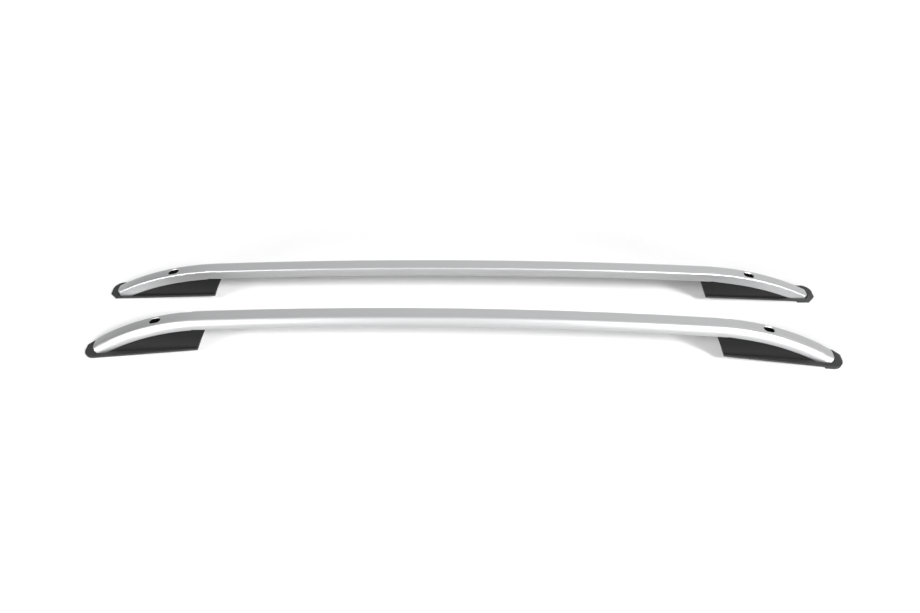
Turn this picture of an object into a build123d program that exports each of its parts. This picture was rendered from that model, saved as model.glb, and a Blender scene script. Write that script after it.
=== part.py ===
from build123d import *

import os
from dataclasses import dataclass
from math import acos, asin, atan2, cos, degrees, hypot, radians, sin, sqrt, tan

# A pair of roof side rails, mirror images of each other, as they stand on a flat floor.
# X runs along the rails with the front end at -X, Z is up, and the left rail is at -Y.
# Each rail is a hollow bar, arched along its length and bent down at both ends, on two moulded
# feet with rubber gaskets. Everything below is in millimetres and degrees.

# The pair
RAIL_SPACING = 197.6  # between the two rails at mid-length
RAIL_TOE = 0.37  # each rail turns a little, so that the pair draws together towards the front

# The line of the bar, measured along its top
TIP_TO_TIP = 1685.0  # between the points where the bar sinks into its gaskets
CROWN_HEIGHT = 115.8  # at mid-length, above the floor
CROWN_RADIUS = 10000.0  # the long arch between the bends
LEAN = 8.5  # the plane of the bends leans towards the other rail
TIP_OUTER_ROUND = 15.0  # corners of the tips, seen from above
TIP_INNER_ROUND = 13.0
TIP_TAPER = 40.0  # length over which the outer side draws in towards the tip

# The bar's section
TOP_WIDTH = 30.0
BAR_HEIGHT = 26.2
OUTER_SLANT = 16.5  # the outer side spreads downwards
INNER_SLANT = 2.0  # the inner side draws in
TOP_BULGE = 0.6
SIDE_BULGE = 3.8  # the outer side is well rounded
OUTER_SHOULDER = 12.0
INNER_SHOULDER = 4.0
LOWER_CORNER = 4.0
BAR_WALL = 2.2

# The access slot and the roof screw, an M6 that stands upright
SLOT_LENGTH = 26.0
SLOT_WIDTH = 15.0
SLOT_BEVEL = 1.2
BEVEL_SLANT = 45.0
SCREW_HOLE_RADIUS = 3.3
MOUNT_HEIGHT = 18.0  # the lower end of the screw boss, above the floor

# The insert inside the bar
INSERT_LENGTH = 92.0
INSERT_GAP = 0.3
WELL_FLOOR = 3.5  # least thickness under the seat of the screw head

# The foot
PANEL_INSET = 2.0  # from the bar's lower edges
PANEL_HOLLOW = 1.0  # the panels are slightly concave
FOOT_OUTER_SLANT = 7.0
FOOT_INNER_SLANT = -3.5
SKIRT_DEPTH = 95.0  # how far the panels are drawn before the base trims them
FOOT_WALL = 3.0
FOOT_LEAD = 3.0  # degrees of the bend's arc drawn before it starts, for the inner end
FOOT_END_RAKE = 26.0  # the inner end leans towards the middle of the rail
FOOT_EDGE = 3.0  # thickness where the foot runs out under the bar's tip
FOOT_EDGE_ROUND = 4.0  # the upright edges of the inner end
BOSS_RADIUS = 9.0
RIB_THICKNESS = 2.5

# The gasket
BASE_SLOPE = 3.55  # the base rises towards the middle, along the arch of the roof
PAD_THICKNESS = 3.0  # under the foot and the bar
RIM_HEIGHT = 5.0  # the ledge round the foot
COLLAR_SLANT = 58.0
TIP_STEP = 1.0  # the bar's tip stands this far above the collar
COLLAR_FLAT = 30.0  # the collar keeps its height over this length, then falls to the rim
COLLAR_LENGTH = 85.0
COLLAR_HINGE = 10.0  # outside this distance from the rail's own line the collar falls away
NOSE_LENGTH = 20.0  # rubber in front of the bar's tip
NOSE_OUTER_WIDTH = 33.0  # from the rail's own line
NOSE_INNER_WIDTH = 21.2
HEEL_OUTER_WIDTH = 15.4
HEEL_INNER_WIDTH = 26.0
NOSE_OUTER_ROUND = 22.0
NOSE_INNER_CUT = 14.0  # the inner corner is cut off straight
HEEL_LEDGE = 0.5  # past the foot's inner end
TIP_GAP = 0.15  # round the bar
TIP_GROOVE = 2.2  # the collar stands off the bar's tip, down to the groove's floor
GROOVE_FLOOR = 4.2
FOOT_GROOVE = 1.2  # round the foot
PAD_BAND = 12.0  # the gasket is open in the middle, this far from its edge
WINDOW_ROUND = 4.0  # corners of that opening
NOTCH_RADIUS = 6.0  # room for the roof screw
LIP_LENGTH = 42.0

# The foot screws
SHANK_RADIUS = 1.95
SHANK_LENGTH = 14.0
HEAD_RADIUS = 4.0
HEAD_HEIGHT = 2.6
HEAD_ROUND = 0.8
DRIVE_RADIUS = 1.7
DRIVE_DEPTH = 1.5
SHANK_GAP = 0.1
SPOT_DEPTH = 0.4  # the heads sit in shallow flats
SPOT_GAP = 0.6
SCREW_REACH = 30.0  # along the bar, either side of the roof screw

FAR = 4000.0  # larger than the whole object, for trimming
MARGIN = 1.0  # how far a trimming profile passes what it trims
TOUCH = 0.01  # closer than this lies on a plane


@dataclass(frozen=True)
class End:
    """What differs between the two ends of a rail."""

    name: str
    side: int  # -1 at the front, 1 at the rear
    bend_radius: float  # at the bar's top
    tip_height: float  # of the bar's top above the base of the gasket
    slot_from_tip: float
    foot_length: float  # from the tip to the foot's inner end, at its top
    lip_drop: float  # how far the nose is raised by its turned-down lip
    collar_fall: float  # degrees by which the collar slopes down towards the outer side


FRONT = End("front", -1, 540.0, 15.2, 150.0, 266.0, 0.0, 3.5)
REAR = End("rear", 1, 610.0, 11.6, 160.5, 279.4, 2.4, 10.5)

lean = radians(LEAN)
slope = radians(BASE_SLOPE)
rake = radians(FOOT_END_RAKE)
tip_x = TIP_TO_TIP / 2
nose_x = tip_x + NOSE_LENGTH
nose_y = -RAIL_SPACING / 2
outer_low = -TOP_WIDTH / 2 - BAR_HEIGHT * tan(radians(OUTER_SLANT))
inner_low = TOP_WIDTH / 2 - BAR_HEIGHT * tan(radians(INNER_SLANT))

# Directions of the bending plane: up along its lean, and square to it
plane_up = Vector(0, sin(lean), cos(lean))
plane_normal = Vector(0, -cos(lean), sin(lean))


def in_plane(x, up):
    """A point of the bending plane."""
    return Vector(x, nose_y, 0) + plane_up * up


def base_height(end, x):
    """Height of the gasket's underside at a distance x from mid-length."""
    return end.lip_drop + (nose_x - x) * tan(slope)


crown_centre = CROWN_HEIGHT / cos(lean) - CROWN_RADIUS


class Bend:
    """The arc that takes the bar's top line from the crown down to its tip, inside the crown's circle."""

    def __init__(self, end):
        self.end = end
        self.radius = end.bend_radius
        tip_up = (base_height(end, tip_x) + end.tip_height) / cos(lean)
        rise = tip_up - crown_centre
        reach = hypot(tip_x, rise)
        offset = CROWN_RADIUS - self.radius
        share = (reach**2 + offset**2 - self.radius**2) / (2 * offset * reach)
        self.start = atan2(tip_x, rise) - acos(share)
        self.x = offset * sin(self.start)
        self.up = crown_centre + offset * cos(self.start)
        self.stop = atan2(tip_x - self.x, tip_up - self.up)

    def angle_at(self, x):
        """Angle from the upright of the top line at a distance x from mid-length."""
        return asin((x - self.x) / self.radius)

    def top_point(self, angle):
        """Point of the bar's top line."""
        return in_plane(
            self.end.side * (self.x + self.radius * sin(angle)), self.up + self.radius * cos(angle)
        )

    def square_to_bar(self, angle):
        """Upward direction of the bar's section at an angle."""
        outward = Vector(self.end.side * sin(angle), 0, 0) + plane_up * cos(angle)
        return plane_normal * sin(lean) + outward * cos(lean)

    def under_bar(self, gap):
        """Distance from mid-length where the bar's underside is a given gap above the foot's seat."""
        radius = self.radius - BAR_HEIGHT * cos(lean)
        fall = tan(slope) / cos(lean)
        seat = base_height(self.end, 0) + PAD_THICKNESS / cos(slope) + gap + BAR_HEIGHT * sin(lean) ** 2
        level = seat / cos(lean) - self.up - fall * self.x
        reach = sqrt(radius**2 * (1 + fall**2) - level**2)
        return self.x + (fall * level + reach) / (1 + fall**2)


bends = {end.name: Bend(end) for end in (FRONT, REAR)}

# Sections are drawn at mid-length, with the origin at the middle of the bar's top
section_plane = Plane(
    origin=(0, nose_y + CROWN_HEIGHT * tan(lean), CROWN_HEIGHT), x_dir=(0, 1, 0), z_dir=(1, 0, 0)
)


def nearest_vertex(sketch, corner):
    """The vertex of a flat sketch that lies nearest to a corner."""
    target = Vector(*corner)
    return min(sketch.vertices(), key=lambda v: (Vector(v.X, v.Y) - target).length)


def rounded(sketch, corner, radius):
    """Rounds one corner of a flat sketch."""
    return fillet(nearest_vertex(sketch, corner), radius)


def bar_outline():
    """Outside of the bar's section."""
    half = TOP_WIDTH / 2
    outer_top = (-half, -TOP_BULGE)
    inner_top = (half, -TOP_BULGE)
    outer_foot = (outer_low, -BAR_HEIGHT)
    inner_foot = (inner_low, -BAR_HEIGHT)
    middle = ((outer_low - half) / 2 - SIDE_BULGE, -BAR_HEIGHT / 2)
    edges = [
        ThreePointArc(outer_top, (0, 0), inner_top),
        Line(inner_top, inner_foot),
        Line(inner_foot, outer_foot),
        ThreePointArc(outer_foot, middle, outer_top),
    ]
    sketch = make_face(edges)
    corners = (
        (outer_top, OUTER_SHOULDER),
        (inner_top, INNER_SHOULDER),
        (outer_foot, LOWER_CORNER),
        (inner_foot, LOWER_CORNER),
    )
    for corner, radius in corners:
        sketch = rounded(sketch, corner, radius)
    return sketch


def skirt_outline(inset, top):
    """Section of the foot below the bar, or of its hollow when it is set in."""
    outer_top = (outer_low + PANEL_INSET + inset, -BAR_HEIGHT - top)
    inner_top = (inner_low - PANEL_INSET - inset, -BAR_HEIGHT - top)
    outer_foot = (outer_top[0] - SKIRT_DEPTH * tan(radians(FOOT_OUTER_SLANT)), outer_top[1] - SKIRT_DEPTH)
    inner_foot = (inner_top[0] + SKIRT_DEPTH * tan(radians(FOOT_INNER_SLANT)), inner_top[1] - SKIRT_DEPTH)
    height = (outer_top[1] + outer_foot[1]) / 2
    outer_middle = ((outer_top[0] + outer_foot[0]) / 2 + PANEL_HOLLOW, height)
    inner_middle = ((inner_top[0] + inner_foot[0]) / 2 - PANEL_HOLLOW, height)
    edges = [
        Line(outer_top, inner_top),
        ThreePointArc(inner_top, inner_middle, inner_foot),
        Line(inner_foot, outer_foot),
        ThreePointArc(outer_foot, outer_middle, outer_top),
    ]
    return make_face(edges)


def about(x, up, side):
    """Axis square to the bending plane, whose positive turn goes down towards one end."""
    return Axis(in_plane(x, up), plane_normal * -side)


def bent(sketch, end, lead):
    """Draws a section down one bend and past the tip, from a lead in degrees before the bend starts."""
    bend = bends[end.name]
    axis = about(end.side * bend.x, bend.up, end.side)
    face = (section_plane * sketch).rotate(about(0, crown_centre, end.side), degrees(bend.start))
    overrun = 2 * BAR_HEIGHT / bend.radius  # until the whole section is below the seat
    return revolve(face.rotate(axis, -lead), axis, degrees(bend.stop - bend.start + overrun) + lead)


def half_bar(sketch, end):
    """Draws a section from mid-length along the crown and down one bend, as far as its seat."""
    crown = revolve(section_plane * sketch, about(0, crown_centre, end.side), degrees(bends[end.name].start))
    return (crown + bent(sketch, end, 0.0)) & tip_room(end, 0.0)


def base_plane(end):
    """Plane of the gasket's underside: x runs from the nose towards the middle, z is up."""
    return Plane(
        origin=(end.side * nose_x, nose_y, end.lip_drop),
        x_dir=(-end.side * cos(slope), 0, sin(slope)),
        z_dir=(end.side * sin(slope), 0, cos(slope)),
    )


def above(plane):
    """Everything above a plane."""
    return plane * Box(FAR, FAR, FAR, align=(Align.CENTER, Align.CENTER, Align.MIN))


def seat_plane(end):
    """Plane on which the foot and the bar's tip stand."""
    return base_plane(end).offset(PAD_THICKNESS)


def tip_room(end, gap):
    """Everything above the seat and behind the rounded outline of the bar's tip."""
    bend = bends[end.name]
    middle = bend.top_point(bend.stop).Y - nose_y
    outer = middle + outer_low - SIDE_BULGE - gap
    visible = middle - TOP_WIDTH / 2 - SIDE_BULGE / 2 - gap
    outer_tip = visible - end.tip_height * tan(radians(OUTER_SLANT))
    inner = middle + TOP_WIDTH / 2 + gap
    start = NOSE_LENGTH - gap
    wide = start + TIP_TAPER
    drift = (wide - start) * tan(bend.stop) * sin(lean)  # the bar leans inwards as it climbs from its tip
    tip = [(start, outer_tip), (start, inner), (wide, inner + drift)]
    rest = [(wide, FAR), (FAR, FAR), (FAR, -FAR), (wide, -FAR), (wide, outer)]
    points = [(p, -end.side * q) for p, q in tip + rest]
    sketch = make_face(Polyline(points, close=True))
    for corner, radius in zip(points, (TIP_OUTER_ROUND, TIP_INNER_ROUND)):
        sketch = rounded(sketch, corner, radius)
    return seat_plane(end) * extrude(sketch, amount=FAR)


def foot_end(end):
    """Distance of the foot's inner end from mid-length, at its top."""
    return tip_x - end.foot_length


def heel_top(end):
    """Height of the bar's underside at the foot's inner end."""
    return CROWN_HEIGHT - BAR_HEIGHT - foot_end(end) ** 2 / (2 * CROWN_RADIUS)


def heel_plane(end, inset):
    """Plane of the foot's raked inner end, facing the nose."""
    normal = Vector(end.side * cos(rake), 0, sin(rake))
    origin = Vector(end.side * foot_end(end), nose_y, heel_top(end)) + normal * inset
    return Plane(origin=origin, z_dir=normal)


def slot_x(end):
    """Distance of the roof screw from mid-length."""
    return tip_x - end.slot_from_tip


def slot_point(end):
    """Middle of the access slot on the bar's top."""
    bend = bends[end.name]
    return bend.top_point(bend.angle_at(slot_x(end)))


def upright(end, radius, low, high):
    """Upright cylinder on the roof screw's axis."""
    point = slot_point(end)
    rod = Cylinder(radius, high - low, align=(Align.CENTER, Align.CENTER, Align.MIN))
    return Pos(point.X, point.Y, low) * rod


def screw_planes(end):
    """Seats of the two foot screws, on the foot's upper wall, facing up into the bar."""
    bend = bends[end.name]
    middle = bend.angle_at(slot_x(end))
    planes = []
    for step in (-1, 1):
        angle = middle + step * SCREW_REACH / bend.radius
        up = bend.square_to_bar(angle)
        drop = BAR_HEIGHT + FOOT_WALL - SPOT_DEPTH
        planes.append(Plane(origin=bend.top_point(angle) - up * drop, z_dir=up))
    return planes


def screw_holes(end):
    """Clearance for the shanks of the foot screws."""
    rod = Cylinder(SHANK_RADIUS + SHANK_GAP, 2 * SHANK_LENGTH)
    return [plane * rod for plane in screw_planes(end)]


def spot_faces(end):
    """Flats under the heads of the foot screws."""
    spot = Cylinder(HEAD_RADIUS + SPOT_GAP, HEAD_HEIGHT, align=(Align.CENTER, Align.CENTER, Align.MAX))
    return [plane * spot for plane in screw_planes(end)]


def bar_room(end, gap):
    """Room that the gasket leaves for one end of the bar, with a gap all round."""
    return bent(offset(bar_outline(), amount=gap), end, 0.0) & tip_room(end, gap)


def slot_bevel(end):
    """Tapered cut that bevels the rim of the access slot."""
    bend = bends[end.name]
    angle = bend.angle_at(slot_x(end))
    along = Vector(cos(angle), 0, -end.side * sin(angle))
    rim = Plane(origin=bend.top_point(angle), x_dir=along, z_dir=bend.square_to_bar(angle))
    wide = SlotOverall(SLOT_LENGTH + 2 * SLOT_BEVEL, SLOT_WIDTH + 2 * SLOT_BEVEL)
    return rim * extrude(wide, amount=-2 * SLOT_BEVEL, taper=BEVEL_SLANT)  # it runs out inside the slot


def make_bar():
    """The bent hollow bar with its access slots and screw holes."""
    outline = bar_outline()
    ring = outline - offset(outline, amount=-BAR_WALL)
    bar = None
    for end in (FRONT, REAR):
        half = half_bar(ring, end)
        point = slot_point(end)
        slot = extrude(SlotOverall(SLOT_LENGTH, SLOT_WIDTH), amount=BAR_HEIGHT)
        half -= Pos(point.X, point.Y, point.Z - BAR_HEIGHT / 2) * slot
        half -= slot_bevel(end)
        half -= upright(end, SCREW_HOLE_RADIUS, 0, point.Z)
        for hole in screw_holes(end):
            half -= hole
        bar = half if bar is None else bar + half
    return bar


def make_insert(end):
    """Block inside the bar with the well and the level seat of the roof screw."""
    core = bent(offset(bar_outline(), amount=-BAR_WALL - INSERT_GAP), end, 0.0)
    point = slot_point(end)
    insert = core & (Pos(point.X, 0, 0) * Box(INSERT_LENGTH, FAR, FAR))
    bend = bends[end.name]
    uphill = bend.top_point(bend.angle_at(slot_x(end) - SLOT_LENGTH / 2))
    floor = uphill.Z - BAR_HEIGHT / cos(bend.angle_at(slot_x(end))) + BAR_WALL + WELL_FLOOR
    well = extrude(SlotOverall(SLOT_LENGTH, SLOT_WIDTH), amount=CROWN_HEIGHT)
    insert -= Pos(point.X, point.Y, floor) * well
    insert -= upright(end, SCREW_HOLE_RADIUS, 0, CROWN_HEIGHT)
    for hole in screw_holes(end):
        insert -= hole
    return insert


def foot_body(end, gap):
    """Outside of the foot as if it were solid, or with a gap the room that the gasket leaves for it."""
    body = bent(skirt_outline(-gap, 0.0), end, FOOT_LEAD)
    body = body & above(seat_plane(end)) & above(heel_plane(end, -gap))
    reach = bends[end.name].under_bar(FOOT_EDGE) + gap
    return body & (Pos(end.side * (reach - FAR / 2), 0, 0) * Box(FAR, FAR, FAR))


def rounded_heel(end, body):
    """Rounds the two upright edges of the foot's inner end."""
    heel = heel_plane(end, 0.0)

    def on_heel(edge):
        return all(abs(heel.to_local_coords(edge @ t).Z) < TOUCH for t in (0, 0.5, 1))

    def is_upright(edge):
        return abs((edge @ 1 - edge @ 0).Z) > BAR_HEIGHT

    return fillet(body.edges().filter_by(on_heel).filter_by(is_upright), FOOT_EDGE_ROUND)


def make_foot(end):
    """Moulded foot: raked panels, hollow below, with a screw boss and ribs."""
    skirt = bent(skirt_outline(0.0, 0.0), end, FOOT_LEAD) & above(heel_plane(end, 0.0))
    body = rounded_heel(end, foot_body(end, 0.0))
    hollow = bent(skirt_outline(FOOT_WALL, FOOT_WALL), end, FOOT_LEAD) & above(heel_plane(end, FOOT_WALL))
    point = slot_point(end)
    foot = body - hollow
    foot += upright(end, BOSS_RADIUS, MOUNT_HEIGHT, CROWN_HEIGHT) & skirt
    near_heel = (slot_x(end) + foot_end(end)) / 2
    near_nose = (slot_x(end) + bends[end.name].under_bar(0.0)) / 2
    for x in (near_heel, near_nose):
        foot += (Pos(end.side * x, 0, 0) * Box(RIB_THICKNESS, FAR, FAR)) & body
    foot -= upright(end, SCREW_HOLE_RADIUS, 0, point.Z)
    for hole in screw_holes(end) + spot_faces(end):
        foot -= hole
    return foot


def pad_plan(end, start, stop, inset):
    """Plan of the gasket between two distances from its nose, set in from its long edges."""
    length = pad_length(end)
    points = []
    for p in (start, stop):
        share = p / length
        outer = -NOSE_OUTER_WIDTH + (NOSE_OUTER_WIDTH - HEEL_OUTER_WIDTH) * share
        inner = NOSE_INNER_WIDTH + (HEEL_INNER_WIDTH - NOSE_INNER_WIDTH) * share
        points.append([(p, -end.side * (outer + inset)), (p, -end.side * (inner - inset))])
    return points[0] + points[1][::-1]


def pad_outline(end):
    """Plan of the gasket in its base plane, from the nose to past the foot's inner end."""
    points = pad_plan(end, 0.0, pad_length(end), 0.0)
    sketch = make_face(Polyline(points, close=True))
    sketch = rounded(sketch, points[0], NOSE_OUTER_ROUND)
    return chamfer(nearest_vertex(sketch, points[1]), NOSE_INNER_CUT)


def pad_window(end):
    """Opening in the gasket under the hollow of the foot."""
    start = nose_x - bends[end.name].under_bar(FOOT_EDGE) + PAD_BAND
    points = pad_plan(end, start, pad_length(end) - PAD_BAND, PAD_BAND)
    sketch = make_face(Polyline(points, close=True))
    return fillet(sketch.vertices(), WINDOW_ROUND)


def pad_length(end):
    """Length of the gasket along its base."""
    height = heel_top(end) - base_height(end, foot_end(end))
    return (nose_x - foot_end(end) - height * tan(rake)) / cos(slope) + HEEL_LEDGE


def make_gasket(end):
    """Rubber base seal: a ledge round the foot and a collar round the bar's tip."""
    plane = base_plane(end)
    outline = pad_outline(end)
    heel = pad_length(end)
    collar = end.tip_height - TIP_STEP
    profile = make_face(
        Polyline(
            [
                (-MARGIN, 0),
                (-MARGIN, collar),
                (COLLAR_FLAT, collar),
                (COLLAR_LENGTH, RIM_HEIGHT),
                (heel + MARGIN, RIM_HEIGHT),
                (heel + MARGIN, 0),
            ],
            close=True,
        )
    )
    wedge = extrude(Plane.XZ * profile, amount=FAR / 2, both=True)
    rim = extrude(outline, amount=RIM_HEIGHT)
    top = extrude(Pos(0, 0, RIM_HEIGHT) * outline, amount=collar - RIM_HEIGHT, taper=COLLAR_SLANT)
    fall = radians(end.collar_fall)
    hinge = Vector(0, -end.side * COLLAR_HINGE, collar)
    top -= above(Plane(origin=hinge, z_dir=(0, end.side * sin(fall), cos(fall))))
    pad = (rim + top) & wedge
    pad -= extrude(pad_window(end), amount=PAD_THICKNESS)
    pad = plane * pad
    if end.lip_drop > 0:
        nose = outline & (Pos(LIP_LENGTH / 2, 0) * Rectangle(LIP_LENGTH, FAR))
        pad += (plane * extrude(nose, amount=-FAR / 2)) & above(Plane.XY)
    pad -= bar_room(end, TIP_GAP)
    pad -= bar_room(end, TIP_GROOVE) & above(plane.offset(GROOVE_FLOOR))
    pad -= foot_body(end, FOOT_GROOVE)
    return pad - upright(end, NOTCH_RADIUS, 0, slot_point(end).Z)


def make_screws(end):
    """The two self-tapping screws of a foot."""
    head = Cylinder(HEAD_RADIUS, HEAD_HEIGHT, align=(Align.CENTER, Align.CENTER, Align.MAX))
    head = fillet(head.edges().group_by(Axis.Z)[0], HEAD_ROUND)
    drive = extrude(RegularPolygon(DRIVE_RADIUS, 6), amount=DRIVE_DEPTH)
    shank = Cylinder(SHANK_RADIUS, SHANK_LENGTH, align=(Align.CENTER, Align.CENTER, Align.MIN))
    screw = head + shank - Pos(0, 0, -HEAD_HEIGHT) * drive
    return [plane * screw for plane in screw_planes(end)]


def make_rail():
    """All pieces of the left rail by name."""
    pieces = {"bar": make_bar()}
    for end in (FRONT, REAR):
        pieces[f"{end.name}_foot"] = make_foot(end)
        pieces[f"{end.name}_insert"] = make_insert(end)
        pieces[f"{end.name}_gasket"] = make_gasket(end)
        for number, screw in enumerate(make_screws(end), 1):
            pieces[f"{end.name}_foot_screw_{number}"] = screw
    return pieces


os.makedirs("parts", exist_ok=True)
own_axis = Axis((0, nose_y, 0), (0, 0, 1))
for name, piece in make_rail().items():
    left = piece.rotate(own_axis, -RAIL_TOE)
    export_step(left, f"parts/left_{name}.step")
    export_step(mirror(left, about=Plane.XZ), f"parts/right_{name}.step")
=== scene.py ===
import logging
import math
from dataclasses import dataclass, field
from enum import Enum
from typing import Any, Sequence, Union

import bpy
from mathutils import Matrix, Vector

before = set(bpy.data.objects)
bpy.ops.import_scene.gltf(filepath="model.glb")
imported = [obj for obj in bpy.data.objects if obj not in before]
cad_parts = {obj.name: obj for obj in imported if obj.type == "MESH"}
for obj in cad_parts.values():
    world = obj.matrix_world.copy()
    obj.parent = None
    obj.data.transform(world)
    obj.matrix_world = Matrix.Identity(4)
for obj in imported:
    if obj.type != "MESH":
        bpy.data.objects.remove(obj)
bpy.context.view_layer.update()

IMAGE_WIDTH: int = 920  # pixels
SENSOR_WIDTH: float = 36.0  # millimetres
WHITE: tuple[float, float, float, float] = (1.0, 1.0, 1.0, 1.0)
NOISE_MEAN: float = 0.5
# A Mix node has sockets for each type of data, and these are the ones for colours
MIX_LOW: int = 6
MIX_HIGH: int = 7
MIX_RESULT: int = 2

Colour = tuple[float, float, float]
Operand = Union["Value", float]
log = logging.getLogger("roof_side_rails")


class Kind(Enum):
    """What a solid of a rail is, by the end of its node's name."""

    BAR = "bar"
    FOOT = "foot"
    INSERT = "insert"
    GASKET = "gasket"
    SCREW = "foot_screw"


class Side(Enum):
    """The two rails of the pair."""

    LEFT = "left"
    RIGHT = "right"


class End(Enum):
    """The two ends of a rail."""

    FRONT = "front"
    REAR = "rear"


class Value:
    """A number that varies over a surface: a socket whose sums and products add Math nodes."""

    def __init__(self, shader: "Shader", socket: bpy.types.NodeSocket | None) -> None:
        """Wraps one output socket of a shader, or none behind a node that has no output."""
        self.shader = shader
        self.socket = socket

    def _math(self, operation: str, first: Operand, second: Operand) -> "Value":
        """Adds one Math node.

        Args:
            operation: Blender's name of the operation.
            first: The first operand, a number or a Value.
            second: The second operand, a number or a Value.

        Returns:
            The node's result.
        """
        return self.shader.node("ShaderNodeMath", {"operation": operation}, {0: first, 1: second})

    def __add__(self, other: Operand) -> "Value":
        """Sum."""
        return self._math("ADD", self, other)

    def __radd__(self, other: Operand) -> "Value":
        """Sum with a number on the left."""
        return self._math("ADD", other, self)

    def __sub__(self, other: Operand) -> "Value":
        """Difference."""
        return self._math("SUBTRACT", self, other)

    def __rsub__(self, other: Operand) -> "Value":
        """Difference with a number on the left."""
        return self._math("SUBTRACT", other, self)

    def __mul__(self, other: Operand) -> "Value":
        """Product."""
        return self._math("MULTIPLY", self, other)

    def __rmul__(self, other: Operand) -> "Value":
        """Product with a number on the left."""
        return self._math("MULTIPLY", other, self)

    def __truediv__(self, other: Operand) -> "Value":
        """Quotient."""
        return self._math("DIVIDE", self, other)

    def __rtruediv__(self, other: Operand) -> "Value":
        """Quotient with a number on the left."""
        return self._math("DIVIDE", other, self)

    def size(self) -> "Value":
        """The value without its sign."""
        return self._math("ABSOLUTE", self, 0.0)

    def below(self, other: Operand) -> "Value":
        """1 where the value is the smaller of the two, and 0 elsewhere."""
        return self._math("LESS_THAN", self, other)

    def at_most(self, other: Operand) -> "Value":
        """The smaller of two values."""
        return self._math("MINIMUM", self, other)

    def at_least(self, other: Operand) -> "Value":
        """The larger of two values."""
        return self._math("MAXIMUM", self, other)


class Shader:
    """A node tree that is filled node by node."""

    def __init__(self, tree: bpy.types.NodeTree) -> None:
        """Empties a tree and keeps it."""
        self.tree = tree
        tree.nodes.clear()

    def node(
        self,
        kind: str,
        settings: dict[str, Any] | None = None,
        sockets: dict[int | str, Any] | None = None,
        output: int | str = 0,
    ) -> Value:
        """Adds a node, sets it up and links its inputs.

        Args:
            kind: Blender's type name of the node.
            settings: Properties of the node, set before its sockets.
            sockets: Values or links of its inputs, by index or name.
            output: The output to hand on, by index or name.

        Returns:
            The chosen output.
        """
        made = self.tree.nodes.new(kind)
        for name, setting in (settings or {}).items():
            setattr(made, name, setting)
        for key, content in (sockets or {}).items():
            if isinstance(content, Value):
                self.tree.links.new(content.socket, made.inputs[key])
            else:
                made.inputs[key].default_value = content
        return Value(self, made.outputs[output] if made.outputs else None)

    def coordinate(self, vector: Value, axis: str) -> Value:
        """One coordinate of a vector, X, Y or Z."""
        return self.node("ShaderNodeSeparateXYZ", None, {0: vector}, output=axis)

    def noise(self, stretch: Sequence[float], detail: float) -> Value:
        """Noise over the object's own coordinates.

        Args:
            stretch: Waves per metre along X, Y and Z.
            detail: Octaves of finer noise.

        Returns:
            A value from 0 to 1.
        """
        place = self.node("ShaderNodeTexCoord", output="Object")
        scaled = self.node("ShaderNodeVectorMath", {"operation": "MULTIPLY"}, {0: place, 1: tuple(stretch)})
        return self.node("ShaderNodeTexNoise", None, {"Vector": scaled, "Scale": 1.0, "Detail": detail})

    def even_noise(self, waves: float, detail: float) -> Value:
        """Noise with the same number of waves per metre every way."""
        return self.noise((waves, waves, waves), detail)

    def mixed(self, share: Value, low: Colour, high: Colour) -> Value:
        """A colour between two others.

        Args:
            share: The second colour's share, from 0 to 1.
            low: The colour at share 0.
            high: The colour at share 1.

        Returns:
            The mixed colour.
        """
        sockets = {"Factor": share, MIX_LOW: (*low, 1.0), MIX_HIGH: (*high, 1.0)}
        return self.node("ShaderNodeMix", {"data_type": "RGBA"}, sockets, output=MIX_RESULT)

    def bump(self, height: Value, strength: float, distance: float) -> Value:
        """A normal that follows a fine height."""
        sockets = {"Strength": strength, "Distance": distance, "Height": height}
        return self.node("ShaderNodeBump", None, sockets)

    def surface(self, sockets: dict[str, Any]) -> None:
        """Closes a material with one Principled shader."""
        shader = self.node("ShaderNodeBsdfPrincipled", None, sockets)
        self.node("ShaderNodeOutputMaterial", None, {"Surface": shader})


@dataclass(frozen=True)
class SatinAluminium:
    """Anodised extrusion: satin metal with faint lines along its length."""

    name: str = "satin_aluminium"
    dark: Colour = (0.482, 0.484, 0.489)
    light: Colour = (0.518, 0.520, 0.525)
    roughness: float = 0.45
    roughness_spread: float = 0.05
    lines: tuple[float, float, float] = (14.0, 620.0, 620.0)
    line_detail: float = 3.0
    line_depth: float = 0.00004
    line_strength: float = 0.15

    def fill(self, shader: Shader) -> None:
        """Builds the finish.

        Args:
            shader: The empty node tree of the material.
        """
        lines = shader.noise(self.lines, self.line_detail)
        shader.surface(
            {
                "Base Color": shader.mixed(lines, self.dark, self.light),
                "Metallic": 1.0,
                "Roughness": self.roughness + (lines - NOISE_MEAN) * self.roughness_spread,
                "Normal": shader.bump(lines, self.line_strength, self.line_depth),
            }
        )


@dataclass(frozen=True)
class MouldedPlastic:
    """Black moulded plastic with a fine grain, and painted light that makes it lighter towards the floor."""

    name: str = "moulded_plastic"
    colour: Colour = (0.0055, 0.0055, 0.0058)
    # painted light: a lighter colour towards the floor, standing in for the shade at the top of the foot, up
    # to this height
    painted_light: Colour = (0.018, 0.018, 0.0176)
    painted_light_height: float = 0.055
    sheen: float = 0.15
    roughness: float = 0.36
    roughness_spread: float = 0.08
    grain: float = 1500.0
    grain_detail: float = 2.0
    grain_depth: float = 0.00003
    grain_strength: float = 0.25

    def fill(self, shader: Shader) -> None:
        """Builds the finish.

        Args:
            shader: The empty node tree of the material.
        """
        grain = shader.even_noise(self.grain, self.grain_detail)
        height = shader.coordinate(shader.node("ShaderNodeTexCoord", output="Object"), "Z")
        # painted light: the share of the lighter colour grows towards the floor
        painted_light = (1.0 - height / self.painted_light_height).at_least(0.0)
        shader.surface(
            {
                "Base Color": shader.mixed(painted_light, self.colour, self.painted_light),
                "Specular IOR Level": self.sheen,
                "Roughness": self.roughness + (grain - NOISE_MEAN) * self.roughness_spread,
                "Normal": shader.bump(grain, self.grain_strength, self.grain_depth),
            }
        )


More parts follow.
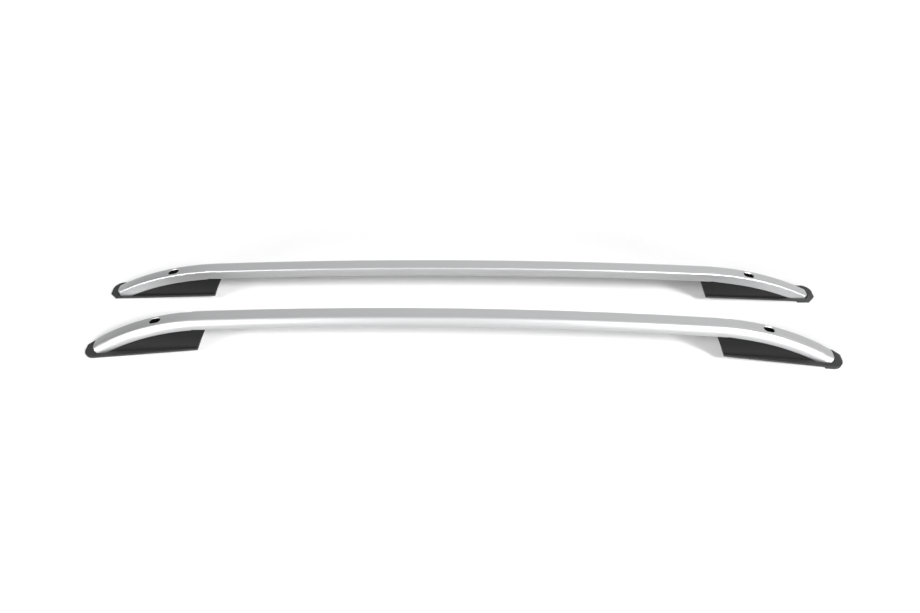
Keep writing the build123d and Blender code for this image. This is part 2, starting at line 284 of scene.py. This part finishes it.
@dataclass(frozen=True)
class GasketRubber:
    """Matt dark rubber, faintly dusty."""

    name: str = "gasket_rubber"
    dark: Colour = (0.012, 0.012, 0.0125)
    dusty: Colour = (0.021, 0.021, 0.0215)
    roughness: float = 0.62
    roughness_spread: float = 0.1
    mottle: float = 90.0
    mottle_detail: float = 4.0
    grain: float = 1100.0
    grain_detail: float = 2.0
    grain_depth: float = 0.00006
    grain_strength: float = 0.3

    def fill(self, shader: Shader) -> None:
        """Builds the finish.

        Args:
            shader: The empty node tree of the material.
        """
        mottle = shader.even_noise(self.mottle, self.mottle_detail)
        grain = shader.even_noise(self.grain, self.grain_detail)
        shader.surface(
            {
                "Base Color": shader.mixed(mottle, self.dark, self.dusty),
                "Roughness": self.roughness + (mottle - NOISE_MEAN) * self.roughness_spread,
                "Normal": shader.bump(grain, self.grain_strength, self.grain_depth),
            }
        )


@dataclass(frozen=True)
class ZincPlate:
    """Bright zinc plating on small screws."""

    name: str = "zinc_plate"
    dark: Colour = (0.50, 0.50, 0.50)
    bright: Colour = (0.66, 0.66, 0.65)
    roughness: float = 0.34
    roughness_spread: float = 0.1
    cloud: float = 700.0
    cloud_detail: float = 3.0

    def fill(self, shader: Shader) -> None:
        """Builds the finish.

        Args:
            shader: The empty node tree of the material.
        """
        cloud = shader.even_noise(self.cloud, self.cloud_detail)
        shader.surface(
            {
                "Base Color": shader.mixed(cloud, self.dark, self.bright),
                "Metallic": 1.0,
                "Roughness": self.roughness + (cloud - NOISE_MEAN) * self.roughness_spread,
            }
        )


Finish = Union[SatinAluminium, MouldedPlastic, GasketRubber, ZincPlate]
FINISHES: dict[Kind, Finish] = {
    Kind.BAR: SatinAluminium(),
    Kind.FOOT: MouldedPlastic(),
    Kind.INSERT: MouldedPlastic(name="insert_plastic", colour=(0.006, 0.006, 0.006), roughness=0.5),
    Kind.GASKET: GasketRubber(),
    Kind.SCREW: ZincPlate(),
}


def make_material(finish: Finish) -> bpy.types.Material:
    """Makes the material of a finish.

    Args:
        finish: The finish, which fills the node tree.

    Returns:
        The new material.
    """
    material = bpy.data.materials.new(finish.name)
    material.use_nodes = True
    finish.fill(Shader(material.node_tree))
    return material


@dataclass(frozen=True)
class Smoothing:
    """Smooth shading of a solid up to its sharp edges, in metres and radians."""

    crease: float = math.radians(30.0)  # edges that turn by more stay sharp
    weld: float = 1e-6  # corners closer than this are one
    # Where the arcs of a bar join, its mesh has large facets, and the crease is wider
    joint_place: float = 0.600  # from mid-length
    joint_reach: float = 0.035  # to either side
    joint_widening: float = math.radians(40.0)

    def build(self) -> bpy.types.GeometryNodeTree:
        """Makes the modifier's nodes, which join a solid's faces and shade them smooth.

        Returns:
            The geometry node group.
        """
        group = bpy.data.node_groups.new("smooth_by_angle", "GeometryNodeTree")
        for way in ("INPUT", "OUTPUT"):
            group.interface.new_socket("Geometry", in_out=way, socket_type="NodeSocketGeometry")
        graph = Shader(group)
        solid = graph.node("NodeGroupInput")
        joined = graph.node("GeometryNodeMergeByDistance", None, {"Geometry": solid, "Distance": self.weld})
        turn = graph.node("GeometryNodeInputMeshEdgeAngle", output="Unsigned Angle")
        along = graph.coordinate(graph.node("GeometryNodeInputPosition"), "X")
        at_joint = (along.size() - self.joint_place).size().below(self.joint_reach)
        limit = self.crease + at_joint * self.joint_widening
        gentle = graph.node("FunctionNodeCompare", {"operation": "LESS_EQUAL"}, {0: turn, 1: limit})
        smooth = joined
        for domain, chosen in (("FACE", True), ("EDGE", gentle)):
            sockets = {"Geometry": smooth, "Shade Smooth": chosen}
            smooth = graph.node("GeometryNodeSetShadeSmooth", {"domain": domain}, sockets)
        graph.node("NodeGroupOutput", None, {"Geometry": smooth})
        return group


@dataclass
class Rail:
    """One rail: its bar, and a foot, insert, gasket and two screws at each end."""

    side: Side
    materials: dict[Kind, bpy.types.Material]
    smoothing: bpy.types.GeometryNodeTree
    screws_per_foot: int = 2
    dressed: list[str] = field(default_factory=list)

    def nodes(self) -> list[tuple[str, Kind]]:
        """Lists the rail's solids.

        Returns:
            Their node names, each with its kind.
        """
        names = [(f"{self.side.value}_bar", Kind.BAR)]
        for end in End:
            stem = f"{self.side.value}_{end.value}"
            names += [(f"{stem}_{kind.value}", kind) for kind in (Kind.FOOT, Kind.INSERT, Kind.GASKET)]
            for number in range(1, self.screws_per_foot + 1):
                names.append((f"{stem}_{Kind.SCREW.value}_{number}", Kind.SCREW))
        return names

    def dress(self, solids: dict[str, bpy.types.Object]) -> None:
        """Gives every solid its finish and smooth shading.

        Args:
            solids: The frame's objects by node name.
        """
        for name, kind in self.nodes():
            solid = solids[name]
            solid.data.materials.clear()
            solid.data.materials.append(self.materials[kind])
            self._smooth(solid, kind)
            self.dressed.append(name)
            log.info("dressed %s as %s", name, kind.value)

    def _smooth(self, solid: bpy.types.Object, kind: Kind) -> None:
        """Shades a solid smooth up to its sharp edges, with the large faces of mouldings kept flat.

        Args:
            solid: The solid's object.
            kind: What the solid is.
        """
        if solid.data.has_custom_normals:
            solid.data.attributes.remove(solid.data.attributes["custom_normal"])
        solid.modifiers.new("smoothing", "NODES").node_group = self.smoothing
        weighted = solid.modifiers.new("weighted_normals", "WEIGHTED_NORMAL")
        weighted.keep_sharp = True
        weighted.mode = "FACE_AREA_WITH_ANGLE" if kind is Kind.BAR else "FACE_AREA"


@dataclass
class Lamp:
    """A wide softbox so far away that its light is the same all over the floor."""

    name: str
    azimuth: float  # degrees to the right of the front
    elevation: float  # degrees above the floor
    width: float  # degrees
    strength: float
    distance: float = 5.0  # of the lamp's mark, which its light doesn't depend on

    def light(self) -> None:
        """Adds the lamp to the scene."""
        data = bpy.data.lights.new(self.name, "SUN")
        data.angle = math.radians(self.width)
        data.energy = self.strength
        lamp = bpy.data.objects.new(self.name, data)
        bpy.context.scene.collection.objects.link(lamp)
        turn, rise = math.radians(self.azimuth), math.radians(self.elevation)
        level = math.cos(rise)
        towards = Vector((math.sin(turn) * level, -math.cos(turn) * level, math.sin(rise)))
        lamp.location = towards * self.distance
        lamp.rotation_mode = "QUATERNION"
        lamp.rotation_quaternion = towards.to_track_quat("Z", "Y")


@dataclass
class Studio:
    """White floor, soft lamps and a pale surround."""

    floor_size: float = 30.0
    floor_colour: Colour = (0.98, 0.98, 0.98)
    white_share: float = 0.07  # of plain white in the floor where it is seen or mirrored
    back_level: float = 1.0  # of the surround behind the rails
    back_gain: float = 0.33  # towards the right
    back_fall: float = 0.6  # towards both sides
    front_level: float = 0.45  # of the surround on the camera's side
    front_share: float = 0.5  # of that level straight to the sides
    front_slope: float = 1.5  # how fast that share grows towards the front
    ambient_share: float = 0.13  # of the surround's level that lights matt surfaces
    lamps: tuple[Lamp, ...] = (
        Lamp("left_softbox", -48.0, 38.5, 15.0, 1.05),
        Lamp("right_softbox", 48.0, 38.5, 15.0, 3.10),
        Lamp("low_left_softbox", -40.0, 6.0, 30.0, 3.00),
        Lamp("low_right_softbox", 40.0, 6.0, 30.0, 2.90),
    )

    def build(self) -> None:
        """Makes the floor, the lamps and the surround."""
        self._floor()
        self._surround()
        for lamp in self.lamps:
            lamp.light()
            log.info("lit %s", lamp.name)

    @staticmethod
    def _ray(shader: Shader, kind: str) -> Value:
        """1 for rays of a kind, such as Camera, and 0 for others."""
        return shader.node("ShaderNodeLightPath", output=f"Is {kind} Ray")

    def _background_ray(self, shader: Shader) -> Value:
        """Finds rays that show the background: seen directly, mirrored or through glass.

        Args:
            shader: The node tree that asks.

        Returns:
            1 for such rays and 0 for others.
        """
        seen, mirrored, through = (self._ray(shader, kind) for kind in ("Camera", "Glossy", "Transmission"))
        return seen.at_least(mirrored).at_least(through)

    def _floor(self) -> None:
        """Makes the white floor, which keeps soft shadows."""
        half = self.floor_size / 2
        mesh = bpy.data.meshes.new("floor")
        corners = [(-half, -half, 0.0), (half, -half, 0.0), (half, half, 0.0), (-half, half, 0.0)]
        mesh.from_pydata(corners, [], [(0, 1, 2, 3)])
        floor = bpy.data.objects.new("floor", mesh)
        bpy.context.scene.collection.objects.link(floor)
        material = bpy.data.materials.new("white_floor")
        material.use_nodes = True
        shader = Shader(material.node_tree)
        matt = shader.node("ShaderNodeBsdfDiffuse", None, {"Color": (*self.floor_colour, 1.0)})
        white = shader.node("ShaderNodeEmission", None, {"Color": WHITE, "Strength": 1.0})
        share = self._background_ray(shader) * self.white_share
        both = shader.node("ShaderNodeMixShader", None, {0: share, 1: matt, 2: white})
        shader.node("ShaderNodeOutputMaterial", None, {"Surface": both})
        mesh.materials.append(material)

    def _surround(self) -> None:
        """Makes the surround: white where the camera sees it, and elsewhere a pale room, darker in front."""
        world = bpy.data.worlds.new("surround")
        world.use_nodes = True
        bpy.context.scene.world = world
        shader = Shader(world.node_tree)
        direction = shader.node("ShaderNodeTexCoord", output="Generated")
        across, along = (shader.coordinate(direction, axis) for axis in "XY")
        back = self.back_level + across * (self.back_gain - across * self.back_fall)
        front = (self.front_share - along * self.front_slope).at_least(0.0).at_most(1.0)
        room = back + front * (self.front_level - back)
        seen, scattered = (self._ray(shader, kind) for kind in ("Camera", "Diffuse"))
        level = room * (1.0 - scattered * (1.0 - self.ambient_share))
        strength = level + seen * (1.0 - level)
        sky = shader.node("ShaderNodeBackground", None, {"Color": WHITE, "Strength": strength})
        shader.node("ShaderNodeOutputWorld", None, {"Surface": sky})


@dataclass
class PhotoCamera:
    """Camera at the photograph's viewpoint, worked out for its frame, in metres and radians."""

    elevation: float = math.radians(43.95)
    turn: float = math.radians(0.375)
    roll: float = math.radians(0.825)
    distance: float = 1.9256
    focal_pixels: float = 815.6
    target: tuple[float, float, float] = (-0.0095, 0.01547, 0.040)
    nearest: float = 0.05
    farthest: float = 100.0

    def build(self) -> None:
        """Adds the camera and makes it the scene's own."""
        level = math.cos(self.elevation)
        ahead = Vector((math.sin(self.turn) * level, math.cos(self.turn) * level, -math.sin(self.elevation)))
        right = Vector((math.cos(self.turn), -math.sin(self.turn), 0.0))
        up = right.cross(ahead)
        rolled_right = right * math.cos(self.roll) + up * math.sin(self.roll)
        rolled_up = up * math.cos(self.roll) - right * math.sin(self.roll)
        data = bpy.data.cameras.new("photo_camera")
        data.sensor_fit = "HORIZONTAL"
        data.sensor_width = SENSOR_WIDTH
        data.lens = self.focal_pixels * SENSOR_WIDTH / IMAGE_WIDTH
        data.clip_start = self.nearest
        data.clip_end = self.farthest
        camera = bpy.data.objects.new("photo_camera", data)
        bpy.context.scene.collection.objects.link(camera)
        axes = Matrix((rolled_right, rolled_up, -ahead)).transposed().to_4x4()
        camera.matrix_world = Matrix.Translation(Vector(self.target) - ahead * self.distance) @ axes
        bpy.context.scene.camera = camera
        log.info("placed the camera with a %.1f mm lens", data.lens)


def main() -> None:
    """Builds the camera, the studio and the two dressed rails."""
    logging.basicConfig(level=logging.INFO, format="%(name)s: %(message)s")
    bpy.context.scene.view_settings.view_transform = "Standard"
    PhotoCamera().build()
    Studio().build()
    materials = {kind: make_material(finish) for kind, finish in FINISHES.items()}
    smoothing = Smoothing().build()
    for side in Side:
        rail = Rail(side, materials, smoothing)
        rail.dress(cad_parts)
        log.info("%s rail has %d pieces", side.value, len(rail.dressed))


if __name__ == "__main__":
    main()
